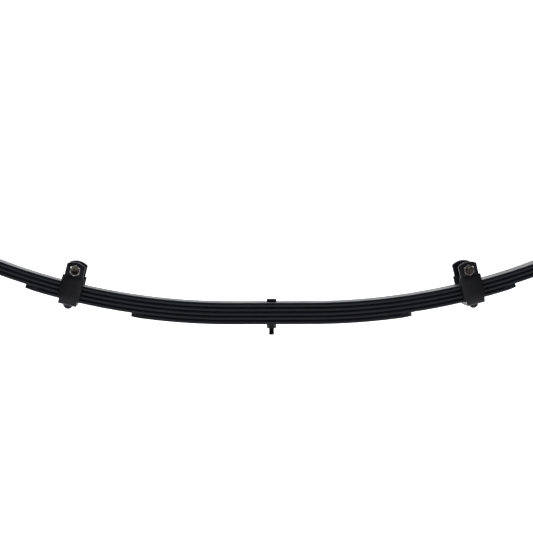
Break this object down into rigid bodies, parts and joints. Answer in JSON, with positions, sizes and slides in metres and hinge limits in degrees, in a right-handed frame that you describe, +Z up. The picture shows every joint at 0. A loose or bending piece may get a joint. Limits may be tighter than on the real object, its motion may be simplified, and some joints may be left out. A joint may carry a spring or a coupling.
{
  "type": "leaf spring",
  "caption": "Semi-elliptic multi-leaf spring with trimmed leaf tips, centre bolt, bolted rebound clips with rubber liners, and bushed eyes.",
  "frame": {"origin": "on the centre bolt's axis, on the main leaf's top face, where its round head stands", "axes": "+X runs along the spring towards the rear eye, +Y across the leaves away from the picture's camera, +Z up through the bolt head, the side the ends curve towards"},
  "size_m": [1.3004, 0.1092, 0.2507],
  "materials": {
    "spring_paint": "satin black paint over rolled spring steel",
    "clip_paint": "satin black paint over mild steel strap",
    "clip_zinc": "dull zinc plate, overspray at the edges",
    "liner_rubber": "smooth black moulded rubber",
    "bushing_rubber": "semi-gloss black moulded bushing",
    "sleeve_steel": "zinc-plated turned tube"
  },
  "bodies": {
    "seat": {"main_leaf": "spring_paint", "second_leaf": "spring_paint", "third_leaf": "spring_paint", "fourth_leaf": "spring_paint", "fifth_leaf": "spring_paint", "centre_bolt": "spring_paint", "centre_nut": "spring_paint"},
    "front_clip": {"front_clip_strap": "clip_paint", "front_clip_bolt": "clip_zinc", "front_clip_nut": "clip_zinc", "front_clip_spacer": "clip_zinc", "front_clip_rivet": "clip_paint", "front_clip_liner_near": "liner_rubber", "front_clip_liner_far": "liner_rubber"},
    "front_eye": {"front_eye_bushing_near": "bushing_rubber", "front_eye_bushing_far": "bushing_rubber"},
    "front_sleeve": {"front_eye_sleeve": "sleeve_steel"},
    "rear_clip": {"rear_clip_strap": "clip_paint", "rear_clip_bolt": "clip_zinc", "rear_clip_nut": "clip_zinc", "rear_clip_spacer": "clip_zinc", "rear_clip_rivet": "clip_paint", "rear_clip_liner_near": "liner_rubber", "rear_clip_liner_far": "liner_rubber"},
    "rear_eye": {"rear_eye_bushing_near": "bushing_rubber", "rear_eye_bushing_far": "bushing_rubber"},
    "rear_sleeve": {"rear_eye_sleeve": "sleeve_steel"}
  },
  "joints": [
    {"name": "front_flex", "type": "hinge", "parent": "seat", "child": "front_clip", "pos_m": [-0.20745, 0, -0.0037], "axis": [0, -1, 0], "range_deg": [0, 14], "stiffness_Nm_per_rad": 5700, "deforming": ["main_leaf", "second_leaf", "third_leaf", "fourth_leaf", "fifth_leaf"]},
    {"name": "front_tip_flex", "type": "hinge", "parent": "front_clip", "child": "front_eye", "pos_m": [-0.49727, 0, 0.06856], "axis": [0, -1, 0], "range_deg": [0, 16], "deforming": ["main_leaf", "second_leaf", "third_leaf", "fourth_leaf"]},
    {"name": "front_sleeve_turn", "type": "hinge", "parent": "front_eye", "child": "front_sleeve", "pos_m": [-0.62385, 0, 0.16783], "axis": [0, -1, 0], "continuous": true},
    {"name": "rear_flex", "type": "hinge", "parent": "seat", "child": "rear_clip", "pos_m": [0.20745, 0, -0.0037], "axis": [0, 1, 0], "range_deg": [0, 14], "stiffness_Nm_per_rad": 5700, "deforming": ["main_leaf", "second_leaf", "third_leaf", "fourth_leaf", "fifth_leaf"]},
    {"name": "rear_tip_flex", "type": "hinge", "parent": "rear_clip", "child": "rear_eye", "pos_m": [0.49727, 0, 0.06856], "axis": [0, 1, 0], "range_deg": [0, 16], "deforming": ["main_leaf", "second_leaf", "third_leaf", "fourth_leaf"]},
    {"name": "rear_sleeve_turn", "type": "hinge", "parent": "rear_eye", "child": "rear_sleeve", "pos_m": [0.62385, 0, 0.16783], "axis": [0, 1, 0], "continuous": true}
  ],
  "couplings": [
    {"joint": "front_tip_flex", "follows": "front_flex", "ratio": 1.1403},
    {"joint": "rear_tip_flex", "follows": "rear_flex", "ratio": 1.1403}
  ]
}
